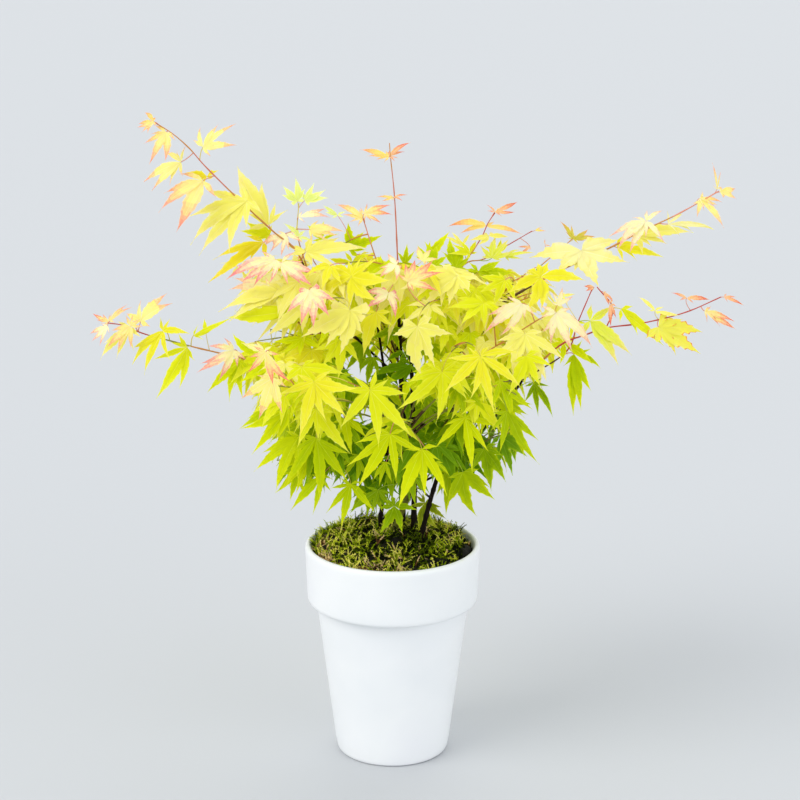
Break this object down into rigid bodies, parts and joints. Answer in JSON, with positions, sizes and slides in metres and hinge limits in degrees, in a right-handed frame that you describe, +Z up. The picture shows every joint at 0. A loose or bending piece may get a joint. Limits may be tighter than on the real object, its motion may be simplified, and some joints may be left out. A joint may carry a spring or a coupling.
{
  "type": "potted japanese maple",
  "caption": "Young Japanese maple grown as a clump of thin stems in a tall round white glazed pot with a banded rim and a moss top dressing.",
  "frame": {"origin": "centre of the pot's flat underside, on the surface the pot stands on", "axes": "+Z up, -Y towards the front of the plant, +X to the right seen from the front"},
  "size_m": [0.5975, 0.3941, 0.6344],
  "materials": {
    "glaze": "smooth white satin glaze",
    "compost": "dark fibrous potting compost",
    "moss": "tufted olive and golden green moss",
    "bark": "smooth near-black young bark",
    "bark_green": "olive green bark with fine streaks",
    "leaf_lemon": "soft lemon yellow leaves, thin and slightly glossy",
    "leaf_lime": "lime green leaves, thin and slightly glossy",
    "leaf_young": "cream young leaves with salmon pink edges"
  },
  "bodies": {
    "root": {"bough_back": "bark", "bough_back_left": "bark", "bough_back_right": "bark", "bough_front": "bark", "bough_left": "bark", "bough_low_back": "bark", "bough_low_front": "bark", "bough_lower_left": "bark", "bough_lower_right": "bark", "bough_right": "bark", "bough_top": "bark", "bough_upper_left": "bark", "bough_upper_right": "bark", "foliage_back": "leaf_lime", "foliage_back_left": "leaf_lime", "foliage_back_right": "leaf_lime", "foliage_front": "leaf_lime", "foliage_left": "leaf_lime", "foliage_low_back": "leaf_lime", "foliage_low_front": "leaf_lime", "foliage_lower_left": "leaf_lime", "foliage_lower_right": "leaf_lime", "foliage_right": "leaf_lime", "foliage_top": "leaf_lemon", "foliage_upper_left": "leaf_lemon", "foliage_upper_right": "leaf_lemon", "moss": "moss", "pot": "glaze", "shoot_back": "leaf_young", "shoot_back_left": "leaf_young", "shoot_back_right": "leaf_young", "shoot_back_upper": "leaf_young", "shoot_front_left": "leaf_young", "shoot_front_right": "leaf_young", "shoot_left": "leaf_young", "shoot_lower_right": "leaf_young", "shoot_right": "leaf_young", "shoot_right_tip": "leaf_young", "shoot_small_centre": "leaf_young", "shoot_small_left": "leaf_young", "shoot_top": "leaf_young", "shoot_upper_left": "leaf_young", "shoot_upper_left_tip": "leaf_young", "soil": "compost", "stem_back": "bark", "stem_centre": "bark", "stem_leaning": "bark_green", "stem_left": "bark", "stem_right": "bark"}
  },
  "joints": []
}
